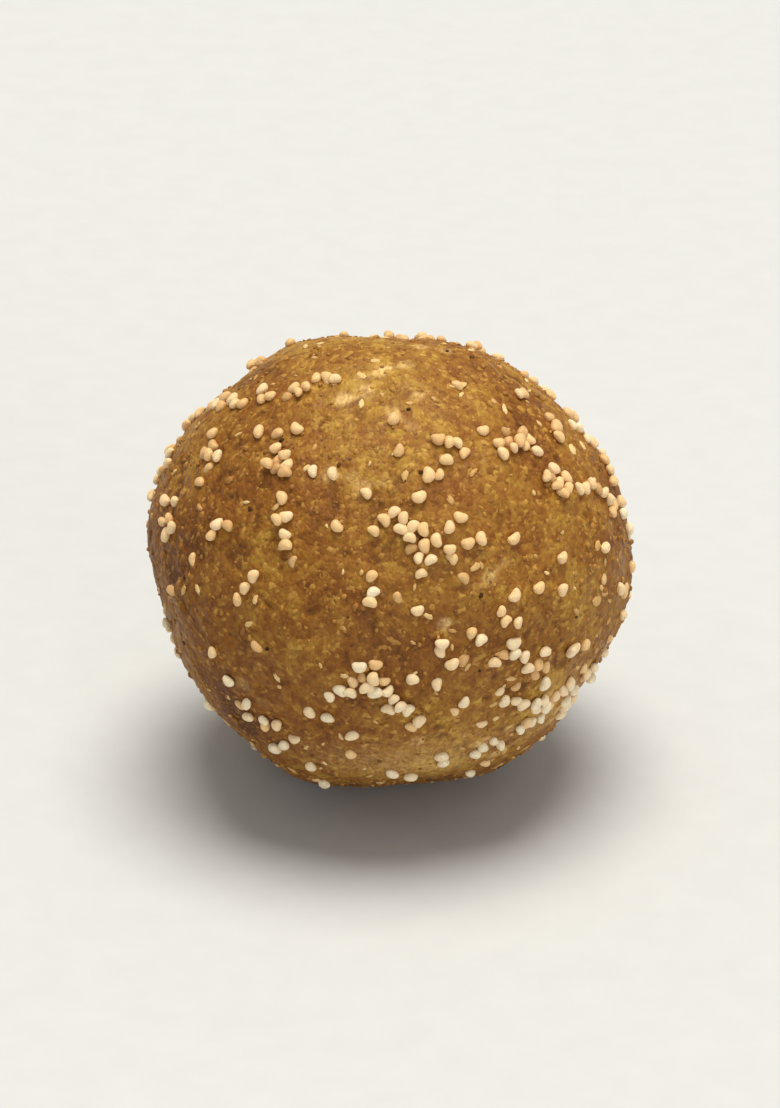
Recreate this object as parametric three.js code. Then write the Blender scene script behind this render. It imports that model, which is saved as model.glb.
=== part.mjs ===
// A churma ladoo: one ball of coarse wheat crumb, ghee and jaggery, rolled by hand.
// Millimetres, +Z up. The origin is under the middle of the ball, on the flat spot it rests on.

import * as THREE from 'three';
import { mergeVertices } from 'three/addons/utils/BufferGeometryUtils.js';
import { ImprovedNoise } from 'three/addons/math/ImprovedNoise.js';

// The ball over all: width along X, depth along Y, height along Z.
const BALL_WIDTH = 45;
const BALL_DEPTH = 44.2;
const BALL_HEIGHT = 43.4;
const BALL_RADIUS = BALL_WIDTH / 2;

// The ball has settled onto a small flat spot of this radius.
const REST_SPOT_RADIUS = 6.5;

// The palms leave the ball a little wider above its middle than below.
const TAPER = 0.02;

// Rolling leaves soft flats all round. Each faces a way of its own: turn is in degrees
// anticlockwise from +X, rise is in degrees above the level, and press is how deep it goes.
const PALM_FLATS = [
  { turn: 82, rise: 61, press: 1.4 },
  { turn: 24, rise: 46, press: 0.8 },
  { turn: 154, rise: 43, press: 0.3 },
  { turn: -96, rise: 20, press: 0.3 },
  { turn: 190, rise: -14, press: 1.1 },
  { turn: 66, rise: -16, press: 0.5 },
  { turn: -16, rise: -31, press: 0.4 },
  { turn: 128, rise: -38, press: 0.4 },
  { turn: 200, rise: -40, press: 0.6 },
  { turn: -80, rise: -60, press: 0.6 },
];

// The ball rounds off from one flat to the next over about this much.
const FLAT_BLEND = 2.5;

// Uneven dough: broad swells first, then the lumps that the coarse crumb makes. Where the
// ball lies in the swells settles which way each of them bulges.
const SWELLS = [
  { length: 17, height: 0.45 },
  { length: 9, height: 0.22 },
  { length: 5, height: 0.2 },
];
const SWELL_PLACE = new THREE.Vector3(46.4, -46.4, 92.8);

// Triangles on the ball number 20 times the square of (FINENESS + 1).
const FINENESS = 16;

const noise = new ImprovedNoise();

function facing(turn, rise) {
  const polar = THREE.MathUtils.degToRad(90 - rise);
  const around = THREE.MathUtils.degToRad(turn);
  const x = Math.sin(polar) * Math.cos(around);
  const y = Math.sin(polar) * Math.sin(around);
  return new THREE.Vector3(x, y, Math.cos(polar));
}

// The lesser of two lengths, rounded off where they are within blend of each other.
function softMin(a, b, blend) {
  const overlap = Math.max(blend - Math.abs(a - b), 0) / blend;
  return Math.min(a, b) - overlap * overlap * blend / 4;
}

// How far out the dough reaches from the middle of the ball, along a direction.
function doughReach(direction) {
  let reach = BALL_RADIUS;
  for (const flat of PALM_FLATS) {
    const towards = direction.dot(facing(flat.turn, flat.rise));
    if (towards > 0) {
      reach = softMin(reach, (BALL_RADIUS - flat.press) / towards, FLAT_BLEND);
    }
  }
  for (const swell of SWELLS) {
    const place = direction.clone().multiplyScalar(BALL_RADIUS / swell.length);
    place.add(SWELL_PLACE).addScalar(swell.length);
    reach += swell.height * noise.noise(place.x, place.y, place.z);
  }
  return reach;
}

// Everything below the rest spot's level is pressed up to it.
function settle(positions) {
  const footDrop = BALL_RADIUS - Math.sqrt(BALL_RADIUS ** 2 - REST_SPOT_RADIUS ** 2);
  let lowest = Infinity;
  for (let i = 0; i < positions.count; i += 1) {
    lowest = Math.min(lowest, positions.getZ(i));
  }
  const restLevel = lowest + footDrop;
  for (let i = 0; i < positions.count; i += 1) {
    positions.setZ(i, Math.max(positions.getZ(i), restLevel));
  }
}

// Bring a shape to its full width, depth and height, standing on z = 0 over the origin.
function sizeAndStand(geometry) {
  geometry.computeBoundingBox();
  const size = geometry.boundingBox.getSize(new THREE.Vector3());
  geometry.scale(BALL_WIDTH / size.x, BALL_DEPTH / size.y, BALL_HEIGHT / size.z);
  geometry.computeBoundingBox();
  const middle = geometry.boundingBox.getCenter(new THREE.Vector3());
  geometry.translate(-middle.x, -middle.y, -geometry.boundingBox.min.z);
}

function rolledBall() {
  const sphere = new THREE.IcosahedronGeometry(1, FINENESS);
  sphere.deleteAttribute('normal');
  sphere.deleteAttribute('uv');
  const geometry = mergeVertices(sphere);
  const positions = geometry.attributes.position;
  const direction = new THREE.Vector3();
  for (let i = 0; i < positions.count; i += 1) {
    direction.fromBufferAttribute(positions, i).normalize();
    const reach = doughReach(direction);
    const spread = reach * (1 + TAPER * direction.z);
    positions.setXYZ(i, direction.x * spread, direction.y * spread, direction.z * reach);
  }
  settle(positions);
  sizeAndStand(geometry);
  geometry.computeVertexNormals();
  return geometry;
}

const doughMaterial = new THREE.MeshStandardMaterial({
  color: '#94652a',
  roughness: 0.6,
  metalness: 0,
});

const ladoo = new THREE.Mesh(rolledBall(), doughMaterial);
ladoo.name = 'ladoo';

const sweet = new THREE.Group();
sweet.add(ladoo);

export default sweet;
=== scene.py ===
"""A churma ladoo: the grainy ball of crumb with its poppy seeds, crumb grains, wheat flakes and
toasted specks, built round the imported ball. Metres, +Z up, the ball resting on z = 0."""

import math
import random

import bpy
import numpy as np
from mathutils import Matrix, Vector, noise
from mathutils.bvhtree import BVHTree
from mathutils.kdtree import KDTree


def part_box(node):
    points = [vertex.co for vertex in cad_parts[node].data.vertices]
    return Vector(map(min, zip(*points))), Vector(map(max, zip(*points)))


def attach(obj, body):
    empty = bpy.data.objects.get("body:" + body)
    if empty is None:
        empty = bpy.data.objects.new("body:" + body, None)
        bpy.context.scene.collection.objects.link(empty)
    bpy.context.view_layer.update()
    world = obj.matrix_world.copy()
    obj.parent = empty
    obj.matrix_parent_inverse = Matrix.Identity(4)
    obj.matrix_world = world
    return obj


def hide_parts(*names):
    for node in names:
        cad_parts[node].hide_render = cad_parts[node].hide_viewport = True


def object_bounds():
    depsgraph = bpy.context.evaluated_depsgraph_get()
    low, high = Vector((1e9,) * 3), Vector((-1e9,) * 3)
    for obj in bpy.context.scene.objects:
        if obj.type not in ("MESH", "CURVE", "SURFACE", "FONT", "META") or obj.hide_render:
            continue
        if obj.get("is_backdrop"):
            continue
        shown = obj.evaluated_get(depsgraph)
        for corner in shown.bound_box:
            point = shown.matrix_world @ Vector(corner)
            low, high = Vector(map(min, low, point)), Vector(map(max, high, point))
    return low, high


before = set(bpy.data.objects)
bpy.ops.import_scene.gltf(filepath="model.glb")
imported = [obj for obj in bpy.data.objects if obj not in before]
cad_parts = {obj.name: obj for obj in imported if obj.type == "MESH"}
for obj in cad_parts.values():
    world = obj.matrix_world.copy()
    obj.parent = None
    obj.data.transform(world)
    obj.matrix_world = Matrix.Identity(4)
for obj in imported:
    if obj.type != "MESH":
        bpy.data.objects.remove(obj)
packed_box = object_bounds()

# ---------------------------------------------------------------------------- sizes

MM = 0.001
LOW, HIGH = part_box("ladoo")
MIDDLE = (LOW + HIGH) / 2
BALL_WIDTH = HIGH.x - LOW.x
BALL_RADIUS = BALL_WIDTH / 2
RADIUS_MM = BALL_RADIUS / MM

# The camera looks down on the ball from this high, and the ball fills this share of the width.
LOOK_DOWN = math.radians(27)
CAMERA_DISTANCE = 0.42
SHARE_OF_WIDTH = 0.62
IMAGE_WIDTH, IMAGE_HEIGHT = 780, 1108
SENSOR_MM = 36

# The directions that the camera calls right, up and towards itself.
RIGHT = Vector((1, 0, 0))
UP = Vector((0, math.sin(LOOK_DOWN), math.cos(LOOK_DOWN)))
TOWARDS = Vector((0, -math.cos(LOOK_DOWN), math.sin(LOOK_DOWN)))

# The lamp is far off, so that it lights the whole floor alike. The air all round gives this much
# light to things, and looks this bright itself, much like the floor.
LAMP_DISTANCE = 40.0
LAMP_HALF_ANGLE = math.radians(19)
AIR_LIGHT = 0.4
AIR_LOOK = 0.86
AIR_COLOUR = (1, 0.985, 0.915, 1)

# What each job's random draws start from, so that every run draws the same. The first is for
# the vector noise that the crumbs' edges wander by.
DRAWS = {
    "crumbs": 7,
    "holes": 11,
    "smears_and_sheens": 17,
    "seeds": 5,
    "grains": 23,
    "flakes": 31,
    "specks": 53,
}

# ---------------------------------------------------------------------------- camera and light


def add_to_scene(thing):
    bpy.context.scene.collection.objects.link(thing)
    return thing


def set_camera():
    frame_height = BALL_WIDTH / SHARE_OF_WIDTH * IMAGE_HEIGHT / IMAGE_WIDTH
    lens = bpy.data.cameras.new("camera")
    lens.sensor_width = SENSOR_MM
    lens.lens = SENSOR_MM * CAMERA_DISTANCE / frame_height
    lens.clip_start = 0.01
    camera = add_to_scene(bpy.data.objects.new("camera", lens))
    camera.location = MIDDLE + TOWARDS * CAMERA_DISTANCE
    camera.rotation_euler = TOWARDS.to_track_quat("Z", "Y").to_euler()
    bpy.context.scene.camera = camera


def soft_light(name, direction, brightness, colour):
    """A round lamp far off in a direction, as wide as it is in a studio, aimed at the ball."""
    lamp = bpy.data.lights.new(name, "AREA")
    lamp.shape = "DISK"
    lamp.size = 2 * LAMP_DISTANCE * math.tan(LAMP_HALF_ANGLE)
    lamp.energy = brightness * (math.pi * LAMP_DISTANCE) ** 2
    lamp.color = colour
    light = add_to_scene(bpy.data.objects.new(name, lamp))
    light.location = MIDDLE + Vector(direction).normalized() * LAMP_DISTANCE
    light.rotation_euler = Vector(direction).to_track_quat("Z", "Y").to_euler()


def light_studio():
    soft_light("overhead softbox", (0.03, 0.05, 0.58), 1.25, (1, 0.965, 0.85))
    soft_light("low white card", (0.6, -1, 0.12), 0.42, (0.93, 0.97, 1))
    world = bpy.data.worlds.new("studio air")
    bpy.context.scene.world = world
    air = Recipe(world)
    seen = air.node("ShaderNodeLightPath", out="Is Camera Ray")
    strength = AIR_LIGHT + (AIR_LOOK - AIR_LIGHT) * seen
    light = air.node("ShaderNodeBackground", None, {"Color": AIR_COLOUR, "Strength": strength})
    air.node("ShaderNodeOutputWorld", None, {"Surface": light})
    bpy.context.scene.view_settings.view_transform = "Standard"


# ---------------------------------------------------------------------------- finish recipes


def linear(colour):
    """A colour written as #rrggbb, as the shader takes it."""
    parts = [int(colour[i:i + 2], 16) / 255 for i in (1, 3, 5)]
    return tuple(p / 12.92 if p < 0.04045 else ((p + 0.055) / 1.055) ** 2.4 for p in parts) + (1,)


class Wire:
    """A value in a recipe. A sum on it adds the Math node that works it out."""

    def __init__(self, recipe, socket):
        self.recipe = recipe
        self.socket = socket

    def __add__(self, other):
        return self.recipe.math("ADD", self, other)

    __radd__ = __add__

    def __mul__(self, other):
        return self.recipe.math("MULTIPLY", self, other)

    __rmul__ = __mul__

    def __sub__(self, other):
        return self.recipe.math("SUBTRACT", self, other)

    def __rsub__(self, other):
        return self.recipe.math("SUBTRACT", other, self)

    def between(self, low, high):
        """0 at or below low, 1 at or above high, and smooth from one to the other."""
        feeds = {"Value": self, "From Min": low, "From Max": high}
        return self.recipe.node("ShaderNodeMapRange", {"interpolation_type": "SMOOTHSTEP"}, feeds)


class Recipe:
    """The nodes of one finish, or of the air."""

    def __init__(self, owner):
        owner.use_nodes = True
        self.owner = owner
        self.tree = owner.node_tree
        self.tree.nodes.clear()

    def node(self, kind, settings=None, feeds=None, out=0):
        """Add a node: its settings first, then a number, a colour or a wire for each socket."""
        made = self.tree.nodes.new(kind)
        for name, value in (settings or {}).items():
            if name == "stops":
                self.lay_stops(made.color_ramp, value)
            else:
                setattr(made, name, value)
        for name, value in (feeds or {}).items():
            if isinstance(value, Wire):
                self.tree.links.new(value.socket, made.inputs[name])
            else:
                made.inputs[name].default_value = value
        return Wire(self, made.outputs[out]) if made.outputs else None

    def lay_stops(self, ramp, stops):
        while len(ramp.elements) < len(stops):
            ramp.elements.new(1)
        for element, (place, colour) in zip(ramp.elements, stops):
            element.position = place
            element.color = linear(colour)

    def math(self, operation, first, second):
        return self.node("ShaderNodeMath", {"operation": operation}, {0: first, 1: second})

    def vector_math(self, operation, feeds):
        return self.node("ShaderNodeVectorMath", {"operation": operation}, feeds)

    def place(self):
        """Where a spot lies, in millimetres."""
        spot = self.node("ShaderNodeTexCoord", out="Object")
        return self.vector_math("SCALE", {0: spot, "Scale": 1 / MM})

    def stretched(self, place, turn, lengths):
        """Places turned by some angles and drawn out to these lengths, in millimetres."""
        feeds = {"Vector": place, "Rotation": turn, "Scale": [1 / length for length in lengths]}
        return self.node("ShaderNodeMapping", None, feeds)

    def stirred(self, place, length, amount):
        """Places moved about by up to an amount, so that what is drawn on them swirls."""
        feeds = {"Vector": place, "Scale": 1 / length, "Detail": 2.0}
        swirl = self.node("ShaderNodeTexNoise", None, feeds, out="Color")
        push = self.vector_math("SUBTRACT", {0: swirl, 1: (0.5, 0.5, 0.5)})
        push = self.vector_math("SCALE", {0: push, "Scale": amount})
        return self.vector_math("ADD", {0: place, 1: push})

    def cloud(self, place, length, detail=3.0, roughness=0.55):
        """Soft patches of about this length."""
        feeds = {"Vector": place, "Scale": 1 / length, "Detail": detail, "Roughness": roughness}
        return self.node("ShaderNodeTexNoise", None, feeds)

    def cells(self, place, length, feature="F1", out="Distance"):
        """Grains of about this length: how far it is to the middle of one or to its edge, or the
        grain's own colour."""
        feeds = {"Vector": place, "Scale": 1 / length}
        return self.node("ShaderNodeTexVoronoi", {"feature": feature}, feeds, out)

    def own_number(self, colour):
        """One number from a grain's own colour."""
        return self.node("ShaderNodeSeparateColor", None, {0: colour})

    def stored(self, name):
        return self.node("ShaderNodeAttribute", {"attribute_name": name}, None, out="Fac")

    def ramp(self, value, stops):
        return self.node("ShaderNodeValToRGB", {"stops": stops}, {0: value})

    def mixed(self, share, first, second):
        """A share of the second colour laid over the first. The node takes its colours at sockets
        6 and 7, and gives one as its third output."""
        feeds = {0: share, 6: first, 7: second}
        return self.node("ShaderNodeMix", {"data_type": "RGBA"}, feeds, out=2)

    def bumped(self, height, depth, strength=1.0):
        """A surface raised by height, which runs from 0 to 1, over a depth in millimetres."""
        feeds = {"Height": height, "Distance": depth * MM, "Strength": strength}
        return self.node("ShaderNodeBump", None, feeds)

    def finished(self, **feeds):
        """Close the recipe with its shader. A name's underscores stand for the socket's spaces."""
        named = {name.replace("_", " "): value for name, value in feeds.items()}
        shader = self.node("ShaderNodeBsdfPrincipled", None, named)
        self.node("ShaderNodeOutputMaterial", None, {"Surface": shader})
        return self.owner


def new_finish(name):
    return Recipe(bpy.data.materials.new(name))


# The crumbs that show in the dough's finish, and the finer grains among them, in millimetres.
CRUMB_LENGTH = 0.8
GRAIN_LENGTH = 0.38


def crumb_finish():
    """Pressed wheat crumb in ghee and jaggery: golden grains in brown, with painted shade
    darkening the hollows, painted light and shade among its tone patches, and painted highlights
    and reflections among its pale smears.
    """
    recipe = new_finish("pressed crumb")
    place = recipe.place()
    swirled = recipe.stirred(place, 2.5, 1.2)
    jostled = recipe.stirred(place, 0.6, 0.3)
    rise = recipe.stored("rise")
    patch = recipe.stored("patch")
    smear = recipe.stored("smear")

    mottle = recipe.cloud(swirled, 1.4, 5.0, 0.62)
    drawn_out = recipe.stretched(swirled, (0.5, 0.9, 0.3), (0.35, 1.6, 0.5))
    strands = recipe.cloud(drawn_out, 1.0, 3.0)
    crumb = recipe.own_number(recipe.cells(jostled, CRUMB_LENGTH, out="Color"))
    grain = recipe.own_number(recipe.cells(jostled, GRAIN_LENGTH, out="Color"))
    crumb_dome = 1 - recipe.cells(jostled, CRUMB_LENGTH)
    grain_dome = 1 - recipe.cells(jostled, GRAIN_LENGTH)

    # Painted shade: the crumb is made darker and browner where it lies low, in the hollows.
    hollow = rise.between(0.42, 0.12)
    # The tone patches carry painted light and shade as well as golden and brown tone.
    tone = 0.36 * patch + 0.17 * mottle + 0.18 * strands + 0.1 * crumb + 0.06 * grain
    tone -= 0.08 * hollow
    colour = recipe.ramp(tone, [
        (0.27, "#643910"),
        (0.37, "#824f19"),
        (0.46, "#966725"),
        (0.55, "#ac8434"),
        (0.66, "#c39f52"),
    ])
    golden = grain.between(0.8, 0.92) * mottle.between(0.4, 0.58)
    colour = recipe.mixed(0.4 * golden, colour, linear("#d0a252"))
    husk = grain.between(0.12, 0.04)
    colour = recipe.mixed(0.3 * husk, colour, linear("#5a3511"))
    # Pale smears of dry crumb, with painted highlights and reflections among them.
    pale = smear * (0.5 + 0.6 * strands.between(0.4, 0.62))
    colour = recipe.mixed(0.75 * pale, colour, linear("#e6c080"))
    # Painted shade in the hollows.
    colour = recipe.mixed(0.3 * hollow, colour, linear("#40240c"))

    height = 0.3 * crumb_dome + 0.3 * grain_dome + 0.25 * strands
    height += 0.15 * recipe.cloud(place, 0.3, 4.0, 0.6)
    ghee = recipe.cloud(place, 3.2, 3.0).between(0.42, 0.6)
    return recipe.finished(
        Base_Color=colour,
        Roughness=0.6 - 0.16 * ghee + 0.1 * grain,
        Specular_IOR_Level=0.2,
        Normal=recipe.bumped(height, 0.28),
        Subsurface_Weight=0.1,
        Subsurface_Radius=(1.0, 0.5, 0.2),
        Subsurface_Scale=0.8 * MM,
    )


def seed_finish():
    """Cream poppy seeds: netted with fine ridges, some ivory and some a little toasted, and paler
    the more they face down, which is painted light.
    """
    recipe = new_finish("poppy seed coat")
    place = recipe.place()
    tone = recipe.stored("tone")
    net = recipe.cells(place, 0.15, "DISTANCE_TO_EDGE")
    ridge = net.between(0.22, 0.04)
    colour = recipe.ramp(tone, [
        (0.0, "#c89a60"),
        (0.25, "#e9bb7e"),
        (0.5, "#f6cc90"),
        (0.8, "#ffe2b6"),
        (1.0, "#ffecc8"),
    ])
    colour = recipe.mixed(0.16 * (1 - ridge), colour, linear("#cf9a5c"))
    return recipe.finished(
        Base_Color=colour,
        Roughness=0.34 + 0.12 * ridge,
        Normal=recipe.bumped(ridge, 0.045, 0.8),
        Subsurface_Weight=0.15,
        Subsurface_Radius=(1.0, 0.7, 0.4),
        Subsurface_Scale=0.3 * MM,
    )


def grain_finish():
    """Loose crumb grains: from jaggery brown to pale wheat, with a light film of ghee."""
    recipe = new_finish("crumb grain")
    place = recipe.place()
    tone = recipe.stored("tone")
    mottle = recipe.cloud(place, 0.3, 3.0)
    colour = recipe.ramp(0.75 * tone + 0.25 * mottle, [
        (0.08, "#6a3d12"),
        (0.35, "#8c5b20"),
        (0.6, "#a4712d"),
        (0.85, "#bc8b3d"),
        (0.97, "#d0a658"),
    ])
    return recipe.finished(
        Base_Color=colour,
        Roughness=0.42 + 0.25 * mottle,
        Specular_IOR_Level=0.35,
        Normal=recipe.bumped(mottle, 0.06),
        Subsurface_Weight=0.15,
        Subsurface_Radius=(1.0, 0.55, 0.25),
        Subsurface_Scale=0.4 * MM,
    )


def flake_finish():
    """Pale bran and broken wheat, drawn out in fine lines."""
    recipe = new_finish("wheat flake")
    place = recipe.place()
    tone = recipe.stored("tone")
    lines = recipe.cloud(recipe.stretched(place, (0.4, 0.2, 0.9), (0.08, 0.6, 0.2)), 1.0, 3.0)
    colour = recipe.ramp(0.6 * tone + 0.4 * lines, [
        (0.15, "#b98748"),
        (0.5, "#d3a866"),
        (0.85, "#e8c98f"),
    ])
    return recipe.finished(
        Base_Color=colour,
        Roughness=0.5 + 0.2 * lines,
        Normal=recipe.bumped(lines, 0.05),
    )


def speck_finish():
    """Well toasted bits, near black where they are deepest."""
    recipe = new_finish("toasted speck")
    mottle = recipe.cloud(recipe.place(), 0.2, 3.0)
    colour = recipe.ramp(0.5 * recipe.stored("tone") + 0.5 * mottle, [
        (0.2, "#2c1706"),
        (0.6, "#4a290e"),
        (0.9, "#6b4018"),
    ])
    return recipe.finished(
        Base_Color=colour,
        Roughness=0.6 + 0.25 * mottle,
        Specular_IOR_Level=0.2,
        Normal=recipe.bumped(mottle, 0.06),
    )


def floor_finish():
    recipe = new_finish("pale studio floor")
    grain = recipe.cloud(recipe.place(), 4.0, 3.0)
    colour = recipe.ramp(grain, [(0.3, "#c4c5c8"), (0.7, "#c7c8cb")])
    return recipe.finished(Base_Color=colour, Roughness=0.7)


# ---------------------------------------------------------------------------- making meshes

# The clear edge round each chart of a flat map, as a share of the chart.
CHART_GAP = 0.02


def ball_grid(steps):
    """A ball made of six square charts with steps quads along each side, joined at their edges.

    Gives the directions of its points, its quads, and each quad corner's place on a flat map
    that holds the charts in three columns and two rows."""
    line = np.arange(steps + 1)
    first, second = np.meshgrid(line, line, indexing="ij")
    square = np.array([(0, 0), (1, 0), (1, 1), (0, 1)])
    quad_starts = np.stack(np.meshgrid(line[:-1], line[:-1], indexing="ij"), -1).reshape(-1, 1, 2)
    corners = quad_starts + square
    lattice, quads, charts = [], [], []
    for chart in range(6):
        axis, far = chart % 3, chart // 3
        spots = np.empty(first.shape + (3,), int)
        spots[..., axis] = steps * far
        spots[..., (axis + 1) % 3] = first if far else second
        spots[..., (axis + 2) % 3] = second if far else first
        lattice.append(spots.reshape(-1, 3))
        quads.append(corners[..., 0] * (steps + 1) + corners[..., 1] + chart * (steps + 1) ** 2)
        inset = CHART_GAP + (1 - 2 * CHART_GAP) * corners / steps
        charts.append((inset + (axis, far)) / (3, 2))
    points, index = np.unique(np.concatenate(lattice), axis=0, return_inverse=True)
    directions = np.tan((points / steps * 2 - 1) * math.pi / 4)
    directions /= np.linalg.norm(directions, axis=1, keepdims=True)
    return directions, index.ravel()[np.concatenate(quads)], np.concatenate(charts)


def make_piece(name, points, quads, chart, finish, stored):
    """A smooth mesh piece that rides with the ball, with a flat map and numbers stored at its
    points."""
    mesh = bpy.data.meshes.new(name)
    mesh.from_pydata(points.tolist(), [], quads.tolist())
    mesh.polygons.foreach_set("use_smooth", np.ones(len(quads), bool))
    flat_map = mesh.uv_layers.new(name="OFBake")
    flat_map.data.foreach_set("uv", chart.reshape(-1).astype(np.float32))
    for label, values in stored.items():
        layer = mesh.attributes.new(label, "FLOAT", "POINT")
        layer.data.foreach_set("value", values.astype(np.float32))
    mesh.materials.append(finish)
    mesh.update()
    piece = add_to_scene(bpy.data.objects.new(name, mesh))
    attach(piece, "root")
    return piece


def within(value, low, high):
    return min(max(value, low), high)


def any_direction(luck):
    return Vector([luck.gauss(0, 1) for _ in range(3)]).normalized()


def seen_direction(across, up):
    """The direction of a spot that the camera sees this far right of and above the middle, in
    millimetres. A spot past the outline is brought in to it."""
    depth = math.sqrt(max(RADIUS_MM ** 2 - across ** 2 - up ** 2, 1))
    return (RIGHT * across + UP * up + TOWARDS * depth).normalized()


def seen_line(lean):
    """The way that a line leaning this many degrees runs, as the camera sees it."""
    turn = math.radians(lean)
    return RIGHT * math.cos(turn) + UP * math.sin(turn)


# ---------------------------------------------------------------------------- the ball of crumb

BALL_STEPS = 126
EVENING_PASSES = 10

# Swells and crumb lumps: (length, height) in millimetres.
WAVES = [(5.2, 0.16), (2.4, 0.1), (1.2, 0.07)]

# Crumbs packed side by side: (length, height) in millimetres. A crumb's dome and the seam round
# it are shares of its length, and its edge wanders a little.
CRUMBS = [(1.7, 0.1), (0.95, 0.09)]
DOME_WIDTH = 0.7
SEAM_WIDTH = 0.28
SEAM_DEPTH = 0.4
CRUMB_LEVEL = 0.75
WANDER_LENGTH, WANDER = 1.1, 0.25
# Each crumb has its own height, from noise read at its middle. The middles are spread this many
# times as wide first, so that neighbours differ.
OWN_HEIGHT, OWN_SPREAD, OWN_PLACE = 0.55, 0.9, 5.3
# The crumb is loose in some regions and pressed smooth in others, where this much shows.
LOOSE_LENGTH = 7
LOOSE_PLACE = Vector((31, 7, 53))
LOOSE_EDGE = 0.35
PRESSED_SMOOTH = 0.35

# Heights over this many millimetres are stored as 0 to 1.
RISE_SPAN = 0.5

# Little holes: how many, and the least and most lobes, width and depth of each. A hole is flat
# over the middle share of its width.
PITS = 110
PIT_LOBES = (1, 3)
PIT_WIDTHS = (0.4, 1.0)
PIT_DEPTHS = (0.1, 0.26)
PIT_SPREAD = 0.45
PIT_FLOOR = 0.15

# Short creases: (right of the middle, above it, steps, lean in degrees) as the camera sees
# them, and how many there are elsewhere.
SEEN_CREASES = [
    (-1.6, -4.8, 13, -90),
    (-11.6, -3.2, 9, -78),
    (5.2, -3.4, 10, 30),
    (-5.5, 5.4, 8, -84),
    (9.8, 4.6, 12, -70),
    (11.6, -11.3, 5, 10),
    (12.3, -13.6, 5, -60),
    (15.2, -8.9, 5, 70),
]
UNSEEN_CREASES = 18
UNSEEN_CREASE_STEPS = (8, 18)
CREASE_STEP = 0.34
CREASE_WIDTHS = (0.4, 0.6)
CREASE_DEPTHS = (0.14, 0.26)
CREASE_WANDER = 0.16

# Golden and brown patches: (length, strength), and where the ball lies among them, which is set so
# that they also darken the upper right, as painted shade.
PATCHES = [(14, 0.28), (5.5, 0.18)]
PATCH_PLACE = Vector((-11.3, -51.8, -27.6))
# Patches that the camera sees, some of them golden and brown tone and some painted light and
# shade: lighter over the top, darker below the middle and at the lower left rim as painted shade,
# and lighter at the lower right rim as painted light bounced up from below. Columns: (right of the
# middle, above it, radius, lighter and more golden).
SEEN_PATCHES_AND_PAINTED_LIGHT = [
    # Lighter over the top, partly painted light.
    (0, 17, 8.0, 0.1),
    # Darker below the middle, as painted shade.
    (2, -8, 9.0, -0.06),
    (-9, 6.5, 4.0, -0.25),
    (-4.5, 18, 2.5, -0.3),
    (9, 13.5, 2.5, 0.28),
    (9, 9, 2.5, 0.1),
    (4.5, 13.5, 3.0, -0.15),
    (5, 5, 3.0, -0.16),
    (13.5, 9, 5.0, -0.2),
    (11, 0, 4.0, -0.15),
    (-18, 3, 3.5, -0.2),
    (-18, -4.5, 3.0, -0.12),
    (-3, 0, 3.5, -0.12),
    (0, -8.5, 3.0, -0.15),
    # Painted shade at the lower left rim.
    (-14, -14, 3.6, -0.55),
    (-9, -9, 3.5, 0.13),
    # Painted light bounced up at the lower right rim.
    (13.5, -14, 4.0, 0.38),
    (10.5, -10, 4.0, -0.12),
    (6, -17.5, 3.5, 0.15),
    (-3, -17, 4.0, -0.18),
    (-2, -18.5, 4.0, -0.14),
]

# Pale smears: (right of the middle, above it, half length, half width, lean in degrees, strength),
# in millimetres as the camera sees them, and how many there are elsewhere. Some are dry crumb, but
# the streaks over the top are painted highlights, and the strokes along the lower right rim and
# the broad smear at the bottom are painted reflections of light from below. Those elsewhere are
# dry crumb.
SEEN_SMEARS_AND_SHEENS = [
    # Painted highlights: the pale streaks over the top.
    (-0.2, 17.2, 2.0, 0.4, 38, 1.6),
    (-1.9, 15.6, 0.9, 0.35, 60, 1.5),
    (-3.7, 14.5, 1.7, 0.5, 8, 1.2),
    (2.9, 14.7, 1.0, 0.3, 35, 1.1),
    (0.8, 12.6, 1.6, 0.35, -50, 1),
    (-4.9, 7.2, 1.5, 0.45, -12, 1),
    (-2.0, 6.2, 1.3, 0.4, 20, 1),
    (9.4, -1.7, 1.3, 0.4, 35, 0.8),
    (5.4, -6.2, 0.9, 0.25, 5, 1.4),
    (-12.7, -12.0, 1.8, 0.3, -48, 0.6),
    # Painted reflections along the lower right rim.
    (16.2, -13.7, 2.6, 0.35, 40, 1),
    (15.2, -15.2, 1.5, 0.4, 35, 1),
    (9.2, -16.9, 1.2, 0.3, 25, 1),
    (10.2, -18.2, 1.8, 0.35, 15, 1),
    (20.3, -8.4, 0.9, 0.5, 60, 1),
    (3.0, -16.8, 1.4, 0.3, 8, 0.8),
    (1.6, -19.9, 2.4, 0.3, 3, 0.8),
    # A painted highlight over the top.
    (3.5, 19.6, 2.2, 0.3, -8, 1),
    # Painted reflections along the lower right rim.
    (11.4, -15.6, 0.9, 0.25, 60, 1.2),
    (14.6, -12.6, 1.2, 0.3, 75, 1.2),
    (16.3, -11.6, 1.2, 0.3, 45, 1.2),
    (17.4, -12.6, 1.6, 0.3, 42, 1.3),
    (18.6, -10.2, 1.2, 0.4, 60, 1.2),
    (8.3, -17.2, 1.0, 0.3, 30, 1.1),
    # Painted reflections: the broad smear at the bottom and the one at the lower right rim.
    (1.5, -19.0, 9.0, 2.8, 5, 0.45),
    (15.0, -13.5, 4.5, 2.2, 40, 0.5),
]
UNSEEN_SMEARS = 16
UNSEEN_SMEAR_LENGTHS = (1.0, 3.0)
UNSEEN_SMEAR_WIDTHS = (0.3, 0.6)
# A smear's edge waves in and out by this much, this often along it.
SMEAR_WAVE, SMEAR_WAVES = 0.35, 2.3


def smooth_step(value, low, high):
    share = within((value - low) / (high - low), 0, 1)
    return share * share * (3 - 2 * share)


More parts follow.
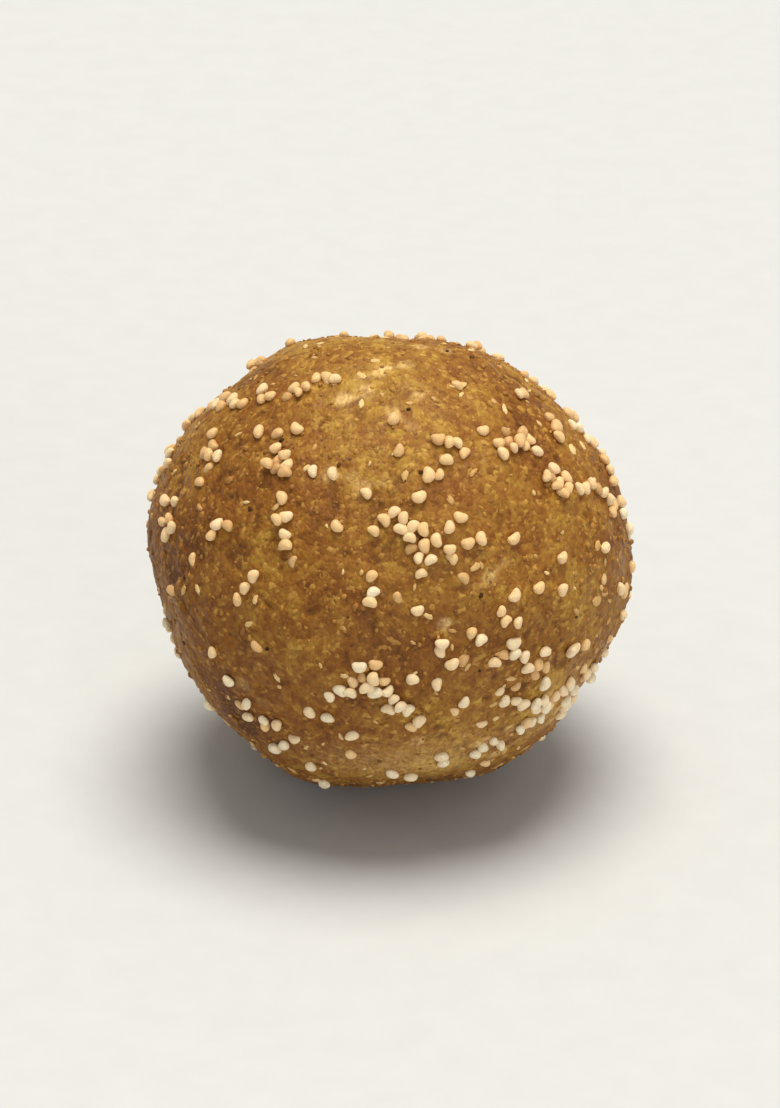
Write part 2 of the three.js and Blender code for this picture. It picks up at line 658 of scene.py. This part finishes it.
def packed_surface(directions):
    """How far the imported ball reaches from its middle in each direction."""
    depsgraph = bpy.context.evaluated_depsgraph_get()
    solid = BVHTree.FromObject(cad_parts["ladoo"], depsgraph)
    reach = np.empty(len(directions))
    for i, direction in enumerate(directions):
        reach[i] = solid.ray_cast(MIDDLE, Vector(direction))[3]
    return reach


def evened(values, quads, passes):
    """Values averaged with those of the neighbouring points, a few times over."""
    edges = np.concatenate([quads[:, [k, (k + 1) % 4]] for k in range(4)])
    count = np.bincount(edges.ravel(), minlength=len(values))
    for _ in range(passes):
        total = np.bincount(edges[:, 0], values[edges[:, 1]], len(values))
        total += np.bincount(edges[:, 1], values[edges[:, 0]], len(values))
        values = (values + total / count) / 2
    return values


def crumb_height(spot):
    """How far the crumb stands out at a spot, both in millimetres."""
    height = sum(rise * noise.noise(spot / length) for length, rise in WAVES)
    loose = noise.noise(spot / LOOSE_LENGTH + LOOSE_PLACE)
    loose = smooth_step(loose, -LOOSE_EDGE, LOOSE_EDGE)
    shown = PRESSED_SMOOTH + (1 - PRESSED_SMOOTH) * loose
    wander = noise.noise_vector(spot / WANDER_LENGTH) * WANDER
    for length, rise in CRUMBS:
        gaps, middles = noise.voronoi((spot + wander) / length)
        dome = 1 - min(gaps[0] / DOME_WIDTH, 1) ** 2
        seam = min((gaps[1] - gaps[0]) / SEAM_WIDTH, 1)
        own = OWN_HEIGHT + OWN_SPREAD * noise.noise(middles[0] * OWN_PLACE)
        height += rise * shown * (dome * own + SEAM_DEPTH * seam - CRUMB_LEVEL)
    return height


def smears_and_sheens(luck):
    """The middle of each smear, the way it runs, its half length and half width, its strength."""
    for across, up, half_length, half_width, lean, strength in SEEN_SMEARS_AND_SHEENS:
        yield seen_direction(across, up), seen_line(lean), half_length, half_width, strength
    for _ in range(UNSEEN_SMEARS):
        middle = any_direction(luck)
        if middle.dot(TOWARDS) < 0:
            line = any_direction(luck)
            half_length = luck.uniform(*UNSEEN_SMEAR_LENGTHS)
            yield middle, line, half_length, luck.uniform(*UNSEEN_SMEAR_WIDTHS), 1


def pale_smears_and_sheen(directions, luck):
    """How much each point of the ball is painted pale: smeared with dry crumb, and in places
    painted with highlights and reflections.
    """
    most = np.zeros(len(directions))
    for middle, line, half_length, half_width, strength in smears_and_sheens(luck):
        gap = (directions - np.array(middle)) * RADIUS_MM
        line = np.array((line - middle * line.dot(middle)).normalized())
        along = gap @ line
        aside = np.linalg.norm(gap - along[:, None] * line, axis=1)
        aside += SMEAR_WAVE * np.sin(along * SMEAR_WAVES)
        share = (along / half_length) ** 2 + (aside / half_width) ** 2
        most = np.maximum(most, strength * np.exp(-share))
    return most


def tone_and_painted_light(direction):
    """0.5 on the whole, more where the ball is golden and less where it is brown, and also more or
    less where light and shade are painted on.
    """
    spot = Vector(direction) * RADIUS_MM
    tone = 0.5 + sum(share * noise.noise(spot / length + PATCH_PLACE) for length, share in PATCHES)
    for across, up, radius, more in SEEN_PATCHES_AND_PAINTED_LIGHT:
        gap = spot - seen_direction(across, up) * RADIUS_MM
        tone += more * math.exp(-(gap.length / radius) ** 2)
    return tone


def creases(luck):
    """Where each crease starts, in millimetres from the middle, where it heads and its steps."""
    for across, up, steps, lean in SEEN_CREASES:
        yield seen_direction(across, up) * RADIUS_MM, seen_line(lean), steps
    for _ in range(UNSEEN_CREASES):
        start = any_direction(luck) * RADIUS_MM
        yield start, any_direction(luck), luck.randint(*UNSEEN_CREASE_STEPS)


def press_pits(points, height, luck):
    """Little holes and short creases where the crumb has torn, sunk into the heights."""
    finder = KDTree(len(points))
    for i, point in enumerate(points):
        finder.insert(point, i)
    finder.balance()

    def press(spot, width, depth):
        for _, i, gap in finder.find_range(spot, width):
            hold = 1 - smooth_step(gap, PIT_FLOOR * width, width)
            height[i] = min(height[i], height[i] * (1 - hold) - depth * hold)

    for _ in range(PITS):
        spot = points[luck.randrange(len(points))]
        width = luck.uniform(*PIT_WIDTHS)
        for _ in range(luck.randint(*PIT_LOBES)):
            step = Vector([luck.gauss(0, PIT_SPREAD) * width for _ in range(3)])
            press(Vector(spot) + step, width, luck.uniform(*PIT_DEPTHS))
    for spot, heading, steps in creases(luck):
        width = luck.uniform(*CREASE_WIDTHS)
        depth = luck.uniform(*CREASE_DEPTHS)
        for step in range(steps):
            spot = finder.find(spot)[0]
            outward = spot.normalized()
            heading = (heading - outward * heading.dot(outward)).normalized()
            heading += Vector([luck.gauss(0, CREASE_WANDER) for _ in range(3)])
            press(spot, width, depth * math.sin(math.pi * (step + 0.5) / steps))
            spot = spot + heading * CREASE_STEP


def build_ball():
    noise.seed_set(DRAWS["crumbs"])
    directions, quads, chart = ball_grid(BALL_STEPS)
    reach = evened(packed_surface(directions), quads, EVENING_PASSES)
    spots = directions * reach[:, None] / MM
    height = np.array([crumb_height(Vector(spot)) for spot in spots])
    press_pits(spots, height, random.Random(DRAWS["holes"]))
    height -= height.mean()
    points = np.array(MIDDLE) + directions * (reach + height * MM)[:, None]
    points[:, 2] = np.maximum(points[:, 2], 0)
    stored = {
        "rise": np.clip(0.5 + height / RISE_SPAN, 0, 1),
        # Tone patches, with painted light and shade among them.
        "patch": np.array([tone_and_painted_light(direction) for direction in directions]),
        # Pale smears of dry crumb, with painted highlights and reflections.
        "smear": pale_smears_and_sheen(directions, random.Random(DRAWS["smears_and_sheens"])),
    }
    ball = make_piece("crumb_ball", points, quads, chart, crumb_finish(), stored)
    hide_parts("ladoo")
    return points, quads


# ---------------------------------------------------------------------------- what is on it


# How much more the ball's roundness counts than its lumps, in the way that a thing on it faces.
EVENED_OUT = 2


class Surface:
    """The finished ball, to lay things on."""

    def __init__(self, points, quads):
        self.tree = BVHTree.FromPolygons(points.tolist(), quads.tolist())

    def under(self, direction):
        """The spot on the ball in a direction from its middle, and the way the ball faces there
        once its lumps are evened out."""
        outside = MIDDLE + direction * BALL_WIDTH
        spot, facing, _, _ = self.tree.ray_cast(outside, -direction)
        return spot, (facing + EVENED_OUT * direction).normalized()


# How far a thing may turn from running square past its neighbour, as a share of a free spin.
ALONGSIDE_SPIN = 0.15


def laid(facing, luck, lean, beside=None):
    """A turn that stands a thing's Z along facing, tipped by about lean, in radians. Its X is
    spun at random, or to run past a neighbour that lies the way of beside."""
    stand = facing.to_track_quat("Z", "Y").to_matrix()
    spin = luck.uniform(0, 2 * math.pi)
    if beside:
        way = stand.transposed() @ beside
        spin = math.atan2(way.y, way.x) + math.pi / 2 + (spin - math.pi) * ALONGSIDE_SPIN
    tip = Matrix.Rotation(luck.gauss(0, lean), 3, any_direction(luck))
    return stand @ Matrix.Rotation(spin, 3, "Z") @ tip


# Noise is read anywhere in a block this far across.
NOISE_BLOCK = 50


def varied_shapes(grid, kinds, luck, shape):
    """A few kinds of one shape, each a little different, from the points of a ball."""
    return np.array([shape(grid[0], luck) for _ in range(kinds)])


def noise_shift(luck):
    """A place in the noise, to start reading it from."""
    return Vector([luck.uniform(0, NOISE_BLOCK) for _ in range(3)])


def lumpy(points, luck, length, rise):
    """Points pushed in and out by soft lumps of a length, other lumps at each call."""
    shift = noise_shift(luck)
    push = [1 + rise * noise.noise(Vector(p) / length + shift) for p in points]
    return points * np.array(push)[:, None]


def scatter(name, shapes, grid, places, finish):
    """Join a copy of a shape at each place into one piece. A place is a shape's number, a spot in
    metres, a turn, a size in millimetres along each axis, and the copy's own tone."""
    _, quads, chart = grid
    picks, spots, turns, sizes, tones = (np.array(column) for column in zip(*places))
    copies = shapes[picks] * sizes[:, None, :] * MM
    points = np.einsum("mij,mkj->mki", turns, copies) + spots[:, None, :]
    count, per_copy = points.shape[:2]
    starts = np.arange(count)[:, None, None] * per_copy
    side = math.ceil(math.sqrt(count))
    cell = np.stack([np.arange(count) % side, np.arange(count) // side], -1)[:, None, None, :]
    inset = CHART_GAP + (1 - 2 * CHART_GAP) * chart
    flat = (cell + inset[None]) / side
    stored = {"tone": np.repeat(tones, per_copy)}
    all_quads = (quads[None] + starts).reshape(-1, 4)
    make_piece(name, points.reshape(-1, 3), all_quads, flat, finish, stored)


# How high above the floor the ball must be, in millimetres, for a thing to be laid there. For a
# grain it is a share of its size.
SEED_CLEARANCE = 2.0
GRAIN_CLEARANCE = 0.7
FLAKE_CLEARANCE = 1.2
SPECK_CLEARANCE = 1.0


def clear_of_floor(spot, margin):
    return spot.z > margin * MM


# ---------------------------------------------------------------------------- poppy seeds

# A seed's length, width and thickness in millimetres, and how much these differ.
SEED_SIZE = (1.3, 1.0, 0.83)
SEED_SIZE_SPREAD = 0.07
SEED_STEPS = 5
SEED_KINDS = 14
# How far a seed bends, where along it the bend is level, how deep and how wide the hollow in its
# side is, how much it narrows to one end, and its lumps: all as shares of its own size.
SEED_BENDS, BEND_LEVEL = (0.1, 0.18), 0.35
SEED_HOLLOWS, HOLLOW_WIDTH = (0.03, 0.09), 0.5
SEED_TAPERS = (0.02, 0.14)
SEED_LUMP_LENGTH, SEED_LUMP_RISE = 0.5, 0.06

# Seeds lie no nearer to each other than a gap drawn from these, in millimetres. One that would
# is drawn again, up to SEED_TRIES in all. After LOOSER_TRIES its cluster is twice as loose.
SEED_GAPS = (0.74, 1.0)
SEED_TRIES = 40
LOOSER_TRIES = 14
# A seed this near to another lies alongside it. Nearer than a seed's width, it rides up on it.
ALONGSIDE = 1.5
RIDE_UP = 0.6

# This share of the seeds is sunk into the dough, and the rest stand proud: the least and most rise
# of each in millimetres, and their tones. Seeds are painted paler the more they face down and
# darker the more they face up, as painted light and shade.
SUNK_SHARE = 0.22
SUNK_RISES, PROUD_RISES = (-0.14, 0.06), (0.1, 0.3)
SUNK_TONE, PROUD_TONE = 0.36, 0.78
SEED_TONE_SPREAD = 0.14
PAINTED_LIGHT_BELOW = 0.38
# Most seeds lie nearly flat, and the rest are tipped well up: leans in radians.
FLAT_SHARE = 0.8
FLAT_LEAN, TIPPED_LEAN = 0.28, 0.8

# Seeds that the camera sees, in clusters: (right of the middle, above it, seeds, half length,
# half width, lean of the cluster in degrees). Distances are in millimetres.
SEEN_CLUSTERS = [
    (-13.0, 14.1, 12, 3.2, 0.5, 10),
    (-8.5, 15.3, 2, 0.5, 0.2, 20),
    (-6.2, 16.2, 3, 0.6, 0.2, -15),
    (-16.3, 8.9, 7, 1.6, 0.4, 80),
    (-9.7, 7.8, 7, 0.7, 0.6, 20),
    (-20.1, 3.1, 6, 1.7, 0.5, 90),
    (-15.6, 1.7, 3, 0.6, 0.3, 45),
    (-9.4, 2.3, 6, 1.2, 0.3, -85),
    (-12.4, -2.6, 3, 1.3, 0.4, 50),
    (0.7, 3.6, 3, 0.6, 0.15, -45),
    (2.4, 1.1, 11, 1.2, 0.7, -50),
    (5.4, 0.0, 3, 0.6, 0.3, -50),
    (7.3, 1.1, 2, 0.8, 0.1, 20),
    (-1.6, -2.3, 2, 0.4, 0.3, 90),
    (5.8, 9.8, 4, 1.3, 0.3, -25),
    (11.2, 9.9, 10, 0.8, 0.6, 35),
    (4.2, 7.5, 4, 0.8, 0.3, 50),
    (12.3, 15.0, 2, 0.6, 0.2, -45),
    (15.4, 11.6, 3, 0.7, 0.2, -65),
    (18.0, 11.8, 4, 1.2, 0.3, -60),
    (15.3, 6.5, 8, 0.7, 0.6, -50),
    (18.2, 6.1, 4, 0.5, 0.3, 0),
    (20.5, 4.8, 7, 1.6, 0.5, -55),
    (20.1, 8.5, 4, 1.5, 0.2, -72),
    (21.2, -4.1, 4, 1.3, 0.5, 80),
    (9.9, -5.5, 4, 0.5, 0.4, 0),
    (7.8, -7.5, 3, 0.6, 0.2, -35),
    (4.3, -8.5, 2, 0.3, 0.2, 0),
    (5.3, -9.8, 2, 0.3, 0.2, 20),
    (9.8, -9.6, 2, 0.6, 0.2, 35),
    (12.1, -9.5, 5, 1.1, 0.2, -52),
    (13.8, -9.3, 3, 0.7, 0.2, 85),
    (16.8, -8.6, 3, 0.7, 0.2, 20),
    (11.4, -13.1, 5, 0.8, 0.4, -20),
    (13.6, -13.5, 6, 1.0, 0.5, 15),
    (12.5, -15.3, 4, 1.0, 0.3, 10),
    (15.6, -12.4, 4, 0.9, 0.3, 40),
    (16.6, -13.7, 6, 1.3, 0.4, 40),
    (18.0, -11.4, 4, 1.2, 0.3, 55),
    (-4.0, -12.0, 4, 1.1, 0.2, 25),
    (-2.5, -11.4, 2, 0.5, 0.1, 15),
    (-1.4, -9.9, 2, 0.5, 0.1, 5),
    (-0.9, -11.1, 1, 0.1, 0.1, 0),
    (-1.4, -12.4, 5, 1.1, 0.3, -12),
    (0.7, -13.2, 4, 0.9, 0.2, -45),
    (-12.6, -14.4, 3, 0.9, 0.3, -45),
    (-10.8, -15.2, 3, 0.7, 0.3, -20),
    (9.4, -17.2, 4, 1.4, 0.3, 20),
    (4.7, -18.4, 2, 0.4, 0.2, 60),
    (3.9, 22.2, 6, 1.6, 0.4, -8),
    (7.6, 21.3, 5, 1.1, 0.4, -18),
    (-13.0, 18.5, 4, 1.3, 0.3, 48),
    (-18.4, 13.2, 3, 1.0, 0.3, 45),
    (-21.0, 7.6, 9, 2.6, 0.4, 66),
]

# Seeds on their own that the camera sees: (right of the middle, above it).
SEEN_SINGLES = [
    (-8.5, 11.5), (-11.9, 11.1), (-10.3, 11.0), (-7.0, 7.5), (-5.2, 7.3), (-17.7, -0.5),
    (-19.8, -3.3), (-4.8, 2.5), (-1.5, 2.1), (0.3, 12.3), (0.8, 9.3), (6.3, 15.8), (8.5, 11.3),
    (13.2, 17.7), (22.0, 2.3), (22.3, -1.2), (15.5, -0.3), (19.5, -2.3), (15.3, -3.2),
    (13.3, -3.0), (6.3, 3.3), (2.8, -1.8), (-1.8, -4.3), (0.7, -4.0), (2.5, -5.1), (16.8, -11.3),
    (2.0, -11.3), (-5.7, -14.7), (-3.4, -16.3), (-3.5, -18.0), (-15.7, -8.7), (0.2, -20.0),
    (-6.0, -21.0), (-4.8, 22.2), (-1.7, 22.5), (-0.2, 21.8), (-14.2, -11.2), (11.2, 1.4),
    (-7.2, -19.3), (19.4, 0.6), (-9.6, -17.2), (-8.6, -16.6), (1.9, -15.6), (6.6, -13.2),
    (8.3, -15.4), (5.9, -1.0), (-7.2, -14.2), (19.9, -8.9), (18.9, -11.6), (4.2, -11.6),
    (-16.6, -13.9), (-11.8, -8.2), (7.4, -20.3), (8.7, -19.2), (10.9, 19.8), (-9.9, 20.8),
    (16.2, 16.1), (18.4, -10.6), (20.3, -7.9), (5.8, -14.2), (1.9, -20.4), (-10.4, -17.6),
]

# Clusters and single seeds drawn for the whole ball, of which only those that the camera doesn't
# see are laid. A cluster has one of these numbers of seeds. Its half length grows with the root
# of that number, and its half width is a share of its half length.
UNSEEN_CLUSTERS = 148
UNSEEN_SINGLES = 130
UNSEEN_SEEDS = [2, 3, 3, 4, 4, 5, 6, 7, 9, 12]
UNSEEN_LENGTHS = (0.8, 1.4)
UNSEEN_WIDTHS = (0.25, 0.7)
ROOT_LENGTH = 0.6
# Seeds gather round a cluster's middle: their usual distance, as a share of its half length.
GATHER = 0.6
# The unseen side begins where the ball turns away from the camera: a cluster's middle lies this
# far past there, and a single seed may lie this far short of there.
EDGE_OF_SIGHT = 0.05


def seed_shape(directions, luck):
    """A kidney: bent along its length, hollow on one side, and narrower at one end."""
    points = directions / 2
    along = points[:, 0] * 2
    hollow = np.exp(-(along / HOLLOW_WIDTH) ** 2) * np.clip(points[:, 1] * 2, 0, 1)
    bend = luck.uniform(*SEED_BENDS) * (along ** 2 - BEND_LEVEL)
    points[:, 1] += bend - luck.uniform(*SEED_HOLLOWS) * hollow
    points[:, 1:] *= (1 - luck.uniform(*SEED_TAPERS) * along)[:, None]
    return lumpy(points, luck, SEED_LUMP_LENGTH, SEED_LUMP_RISE)


def spread(luck, half_length, half_width, looser):
    """A spot's place along and across a cluster, gathered round its middle."""
    along = luck.gauss(0, half_length * GATHER) * looser
    return along, luck.gauss(0, half_width * GATHER) * looser


def seen_cluster(luck, across, up, half_length, half_width, lean):
    """Gives directions in a cluster that the camera sees, one at each call."""
    turn = math.radians(lean)

    def draw(looser):
        along, aside = spread(luck, half_length, half_width, looser)
        x = across + along * math.cos(turn) - aside * math.sin(turn)
        y = up + along * math.sin(turn) + aside * math.cos(turn)
        return seen_direction(x, y)

    return draw


def unseen_cluster(luck, middle, half_length, half_width):
    """The same round a direction, drawn out in a line one way."""
    line = middle.cross(any_direction(luck)).normalized()
    side = middle.cross(line)

    def draw(looser):
        along, aside = spread(luck, half_length, half_width, looser)
        return (middle + (line * along + side * aside) * MM / BALL_RADIUS).normalized()

    return draw


def seed_clusters(luck):
    """Every cluster: the seeds in it, and what draws a direction for each."""
    for across, up, seeds, *shape in SEEN_CLUSTERS:
        yield seeds, seen_cluster(luck, across, up, *shape)
    for across, up in SEEN_SINGLES:
        yield 1, seen_cluster(luck, across, up, 0, 0, 0)
    for _ in range(UNSEEN_CLUSTERS):
        middle = any_direction(luck)
        seeds = luck.choice(UNSEEN_SEEDS)
        length = luck.uniform(*UNSEEN_LENGTHS) * math.sqrt(seeds) * ROOT_LENGTH
        if middle.dot(TOWARDS) < -EDGE_OF_SIGHT:
            width = length * luck.uniform(*UNSEEN_WIDTHS)
            yield seeds, unseen_cluster(luck, middle, length, width)
    for _ in range(UNSEEN_SINGLES):
        middle = any_direction(luck)
        if middle.dot(TOWARDS) < EDGE_OF_SIGHT:
            yield 1, unseen_cluster(luck, middle, 0, 0)


def way_to_nearest(spot, taken):
    """The way from a spot to the nearest seed, or a long way while there is none."""
    ways = (other - spot for other in taken)
    return min(ways, key=lambda way: way.length, default=RIGHT * RADIUS_MM)


def lay_seed(luck, spot, facing, beside):
    """A seed's place: sunk in or standing proud, and riding up on one that is close beside it."""
    sunk = luck.random() < SUNK_SHARE
    rise = luck.uniform(*(SUNK_RISES if sunk else PROUD_RISES))
    rise += RIDE_UP * math.sqrt(max(SEED_SIZE[1] ** 2 - beside.length ** 2, 0))
    size = np.array(SEED_SIZE) * luck.gauss(1, SEED_SIZE_SPREAD)
    lean = FLAT_LEAN if luck.random() < FLAT_SHARE else TIPPED_LEAN
    turn = laid(facing, luck, lean, beside if beside.length < ALONGSIDE else None)
    tone = luck.gauss(SUNK_TONE if sunk else PROUD_TONE, SEED_TONE_SPREAD)
    # Painted light: seeds that face down are made paler and those that face up darker.
    tone = within(tone - PAINTED_LIGHT_BELOW * facing.z, 0, 1)
    return luck.randrange(SEED_KINDS), spot + facing * rise * MM, turn, size, tone


def sow_seeds(surface):
    """Lay the seeds cluster by cluster, each one clear of those before it."""
    luck = random.Random(DRAWS["seeds"])
    grid = ball_grid(SEED_STEPS)
    shapes = varied_shapes(grid, SEED_KINDS, luck, seed_shape)
    places, taken = [], []
    for seeds, draw in seed_clusters(luck):
        for _ in range(seeds):
            gap = luck.uniform(*SEED_GAPS)
            for attempt in range(SEED_TRIES):
                direction = draw(1 + attempt / LOOSER_TRIES)
                beside = way_to_nearest(direction * RADIUS_MM, taken)
                if beside.length > gap:
                    break
            else:
                continue
            taken.append(direction * RADIUS_MM)
            spot, facing = surface.under(direction)
            place = lay_seed(luck, spot, facing, beside)
            if clear_of_floor(spot, SEED_CLEARANCE):
                places.append(place)
    scatter("poppy_seeds", shapes, grid, places, seed_finish())


# ---------------------------------------------------------------------------- crumb grains

GRAIN_COUNT = 3400
GRAIN_KINDS = 16
GRAIN_STEPS = 2
# A grain's size in millimetres: the natural log of the usual one and how far that varies, then
# the least and most. Its length, width and thickness are shares of its size.
GRAIN_DRAW = (-0.85, 0.32)
GRAIN_SIZES = (0.22, 0.95)
GRAIN_LENGTHS, GRAIN_WIDTHS, GRAIN_THICKNESS = (0.8, 1.3), (0.7, 1.1), 0.8
# How far a grain stands out, as a share of its size, and how far it is tipped, in radians.
GRAIN_RISES = (-0.34, 0.04)
GRAIN_LEAN = 0.5
# A grain's tone follows the dough's, with its painted light and shade.
GRAIN_TONE, GRAIN_TONE_FOLLOWS, GRAIN_TONE_SPREAD = 0.25, 0.5, 0.2
# Grains drift together: the mean chance that one stays where it falls, how many drifts there are
# to the ball, and where the ball lies among them.
STAY_CHANCE = 0.55
DRIFTS = 4.2
DRIFT_PLACE = Vector((3, 9, 4))
# A broken crumb has this many flat sides, cut this far from its middle. This and its lumps are
# shares of its own size.
FLAT_SIDES = 6
FLAT_SIDE_CUTS = (0.28, 0.42)
GRAIN_LUMP_LENGTH, GRAIN_LUMP_RISE = 0.6, 0.35


def grain_shape(directions, luck):
    """A broken crumb: a lump with a few flat sides."""
    points = lumpy(directions / 2, luck, GRAIN_LUMP_LENGTH, GRAIN_LUMP_RISE)
    for _ in range(FLAT_SIDES):
        side = np.array(any_direction(luck))
        over = np.clip(points @ side - luck.uniform(*FLAT_SIDE_CUTS), 0, None)
        points = points - over[:, None] * side
    return points


def strew_grains(surface):
    """Lay loose grains over the ball, in drifts."""
    luck = random.Random(DRAWS["grains"])
    grid = ball_grid(GRAIN_STEPS)
    shapes = varied_shapes(grid, GRAIN_KINDS, luck, grain_shape)
    places = []
    for _ in range(GRAIN_COUNT):
        direction = any_direction(luck)
        while luck.random() > STAY_CHANCE + noise.noise(direction * DRIFTS + DRIFT_PLACE):
            direction = any_direction(luck)
        spot, facing = surface.under(direction)
        size = within(luck.lognormvariate(*GRAIN_DRAW), *GRAIN_SIZES)
        spot += facing * luck.uniform(*GRAIN_RISES) * size * MM
        length, width = size * luck.uniform(*GRAIN_LENGTHS), size * luck.uniform(*GRAIN_WIDTHS)
        sizes = [length, width, size * GRAIN_THICKNESS]
        tone = GRAIN_TONE + GRAIN_TONE_FOLLOWS * tone_and_painted_light(direction)
        tone = within(luck.gauss(tone, GRAIN_TONE_SPREAD), 0, 1)
        kind = luck.randrange(GRAIN_KINDS)
        place = (kind, spot, laid(facing, luck, GRAIN_LEAN), sizes, tone)
        if clear_of_floor(spot, size * GRAIN_CLEARANCE):
            places.append(place)
    scatter("crumb_grains", shapes, grid, places, grain_finish())


# ---------------------------------------------------------------------------- wheat flakes

FLAKE_COUNT = 360
FLAKE_KINDS = 10
FLAKE_STEPS = 4
# A flake's length in millimetres: the natural log of the usual one and how far that varies, then
# the most. Its width is a share of its length, and its thickness and rise are in millimetres.
FLAKE_DRAW = (-0.3, 0.35)
LONGEST_FLAKE = 1.8
FLAKE_WIDTHS = (0.35, 0.75)
FLAKE_THICKNESS = 0.24
FLAKE_RISES = (-0.02, 0.06)
FLAKE_LEAN = 0.16
# How far it curves up or down to its ends, how deep the notches in its outline are, and how
# closely they follow on each other.
FLAKE_CURVES = (-1.2, 0.4)
NOTCH_DEPTH, NOTCHES = 0.45, 2.6


def flake_shape(directions, luck):
    """A thin bit of bran with a ragged outline, curved a little."""
    shift = noise_shift(luck)
    outline = [Vector((x, y, 0)) * NOTCHES + shift for x, y, _ in directions]
    ragged = [1 + NOTCH_DEPTH * noise.noise(spot) for spot in outline]
    points = directions / 2 * np.array(ragged)[:, None]
    points[:, 2] += luck.uniform(*FLAKE_CURVES) * points[:, 0] ** 2
    return points


def press_flakes(surface):
    """Press flakes nearly flush into the ball, anywhere on it."""
    luck = random.Random(DRAWS["flakes"])
    grid = ball_grid(FLAKE_STEPS)
    shapes = varied_shapes(grid, FLAKE_KINDS, luck, flake_shape)
    places = []
    for _ in range(FLAKE_COUNT):
        spot, facing = surface.under(any_direction(luck))
        length = min(luck.lognormvariate(*FLAKE_DRAW), LONGEST_FLAKE)
        sizes = [length, length * luck.uniform(*FLAKE_WIDTHS), FLAKE_THICKNESS]
        spot += facing * luck.uniform(*FLAKE_RISES) * MM
        turn = laid(facing, luck, FLAKE_LEAN)
        place = (luck.randrange(FLAKE_KINDS), spot, turn, sizes, luck.random())
        if clear_of_floor(spot, FLAKE_CLEARANCE):
            places.append(place)
    scatter("wheat_flakes", shapes, grid, places, flake_finish())


# ---------------------------------------------------------------------------- toasted specks

# Specks that the camera sees: (right of the middle, above it), and how many there are in all.
SEEN_SPECKS = [(16.8, -5.7)]
SPECK_COUNT = 28
SPECK_KINDS = 6
SPECK_STEPS = 3
# A speck's size in millimetres. Its length, thickness and rise are shares of its size.
SPECK_SIZES = (0.25, 0.55)
SPECK_LENGTHS, SPECK_THICKNESS = (1, 1.6), 0.7
SPECK_RISES = (-0.1, 0.05)
SPECK_LEAN = 0.3


def press_specks(surface):
    """Press specks into the ball: the ones in places of their own, then the rest anywhere."""
    luck = random.Random(DRAWS["specks"])
    grid = ball_grid(SPECK_STEPS)
    shapes = varied_shapes(grid, SPECK_KINDS, luck, grain_shape)
    places = []
    directions = [seen_direction(across, up) for across, up in SEEN_SPECKS]
    while len(directions) < SPECK_COUNT:
        directions.append(any_direction(luck))
    for direction in directions:
        spot, facing = surface.under(direction)
        size = luck.uniform(*SPECK_SIZES)
        sizes = [size * luck.uniform(*SPECK_LENGTHS), size, size * SPECK_THICKNESS]
        spot += facing * luck.uniform(*SPECK_RISES) * size * MM
        turn = laid(facing, luck, SPECK_LEAN)
        place = (luck.randrange(SPECK_KINDS), spot, turn, sizes, luck.random())
        if clear_of_floor(spot, SPECK_CLEARANCE):
            places.append(place)
    scatter("toasted_specks", shapes, grid, places, speck_finish())


# ---------------------------------------------------------------------------- the floor

FLOOR_RADIUS = 6.0
FLOOR_SIDES = 96


def lay_floor():
    """A wide round floor at the foot of the ball, for the renders only."""
    around = [2 * math.pi * side / FLOOR_SIDES for side in range(FLOOR_SIDES)]
    mesh = bpy.data.meshes.new("studio_floor")
    rim = [(FLOOR_RADIUS * math.cos(a), FLOOR_RADIUS * math.sin(a), 0) for a in around]
    mesh.from_pydata(rim, [], [list(range(len(rim)))])
    mesh.materials.append(floor_finish())
    add_to_scene(bpy.data.objects.new("studio_floor", mesh))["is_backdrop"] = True


# ---------------------------------------------------------------------------- putting it together

set_camera()
light_studio()
lay_floor()
ball_surface = Surface(*build_ball())
sow_seeds(ball_surface)
strew_grains(ball_surface)
press_flakes(ball_surface)
press_specks(ball_surface)

boxes = {"packed": packed_box, "visual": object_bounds()}
{name: [list(corner) for corner in box] for name, box in boxes.items()}
